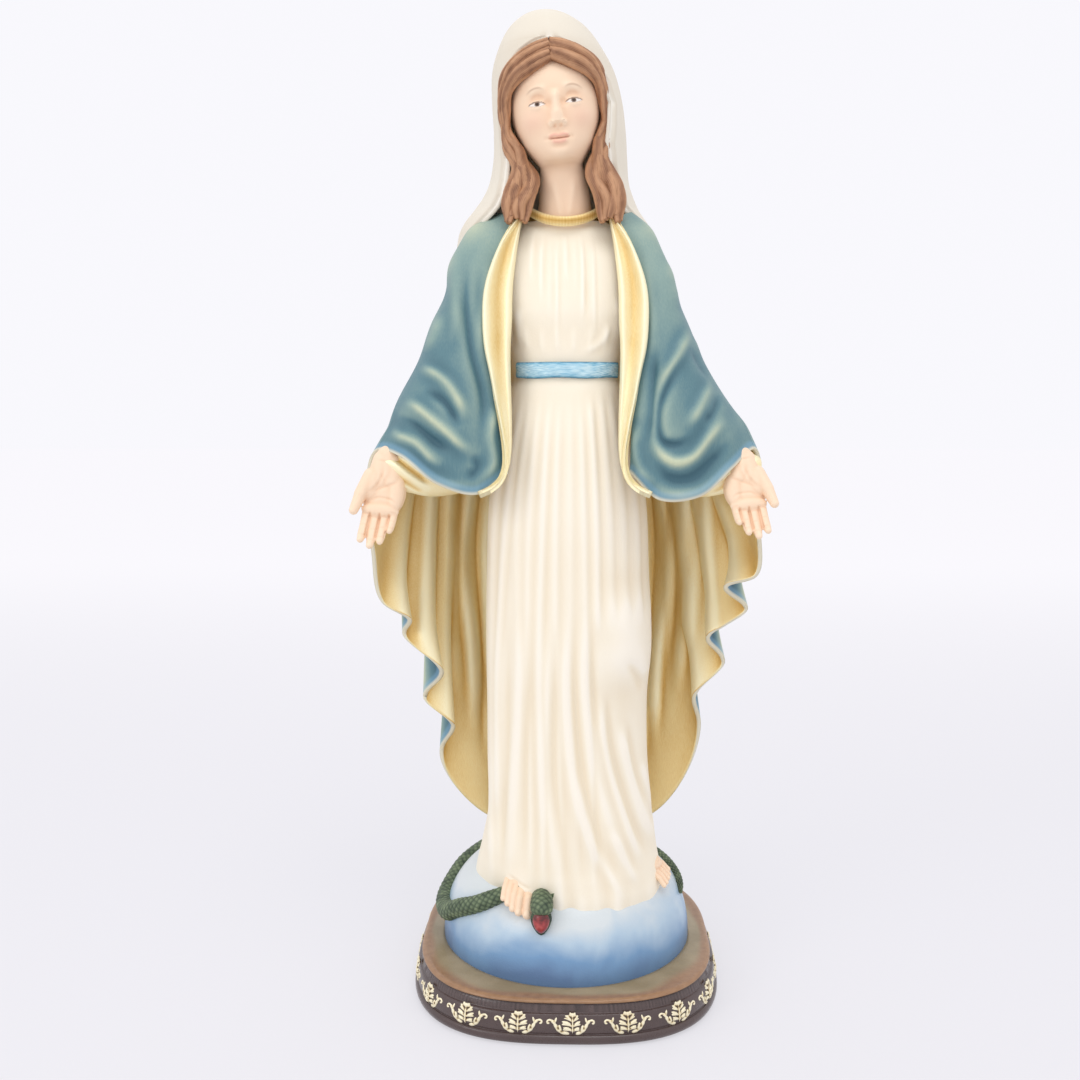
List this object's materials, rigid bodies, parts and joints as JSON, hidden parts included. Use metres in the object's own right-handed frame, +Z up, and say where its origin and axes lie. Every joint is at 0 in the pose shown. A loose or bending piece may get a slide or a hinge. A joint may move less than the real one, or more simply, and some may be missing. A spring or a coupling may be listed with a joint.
{
  "type": "madonna statue",
  "caption": "Standing veiled Madonna with open hands, cream gown and gold-lined blue mantle, on a globe with a serpent over a moulded plinth; a free-standing devotional figure.",
  "frame": {"origin": "on the floor under the middle of the plinth", "axes": "+Z up through the figure's head; the figure faces -Y, and its own right hand is at -X"},
  "size_m": [0.3422, 0.256, 0.7997],
  "materials": {
    "felt": "matt green felt",
    "plywood": "bare plywood",
    "pine_wood": "bare turned wood",
    "zinc_steel": "zinc plated",
    "plinth_brown": "satin dark brown paint with gilded leaf relief and a tan top",
    "globe_paint": "airbrushed blue fading to pale blue-white at the top",
    "serpent_paint": "green paint dry-brushed over scales",
    "apple_paint": "red gloss paint",
    "gown_cream": "satin cream paint with warm tints in the folds",
    "sash_blue": "light blue paint, brushed",
    "gold_paint": "gold paint, brushed",
    "skin_paint": "satin flesh paint",
    "mantle_paint": "airbrushed blue-green outside with cream on the folds, gold inside",
    "hair_paint": "brown paint with lighter dry-brushing",
    "veil_cream": "satin cream paint"
  },
  "bodies": {
    "root": {"felt_pad": "felt", "closing_board": "plywood", "board_screws": "zinc_steel", "plinth": "plinth_brown", "globe": "globe_paint", "serpent": "serpent_paint", "apple": "apple_paint", "gown": "gown_cream", "torso_block": "pine_wood", "sash": "sash_blue", "neckband": "gold_paint", "right_foot": "skin_paint", "left_foot": "skin_paint", "mantle_back": "mantle_paint", "right_sleeve": "mantle_paint", "left_sleeve": "mantle_paint", "right_lapel": "gold_paint", "left_lapel": "gold_paint", "right_inner_sleeve": "gold_paint", "left_inner_sleeve": "gold_paint", "right_hand": "skin_paint", "left_hand": "skin_paint", "hand_pins": "zinc_steel", "head": "skin_paint", "neck_dowel": "pine_wood", "shoulder_plug": "pine_wood", "right_hair": "hair_paint", "left_hair": "hair_paint", "veil": "veil_cream", "threaded_rod": "zinc_steel", "rod_nuts": "zinc_steel", "rod_washers": "zinc_steel"}
  },
  "joints": []
}
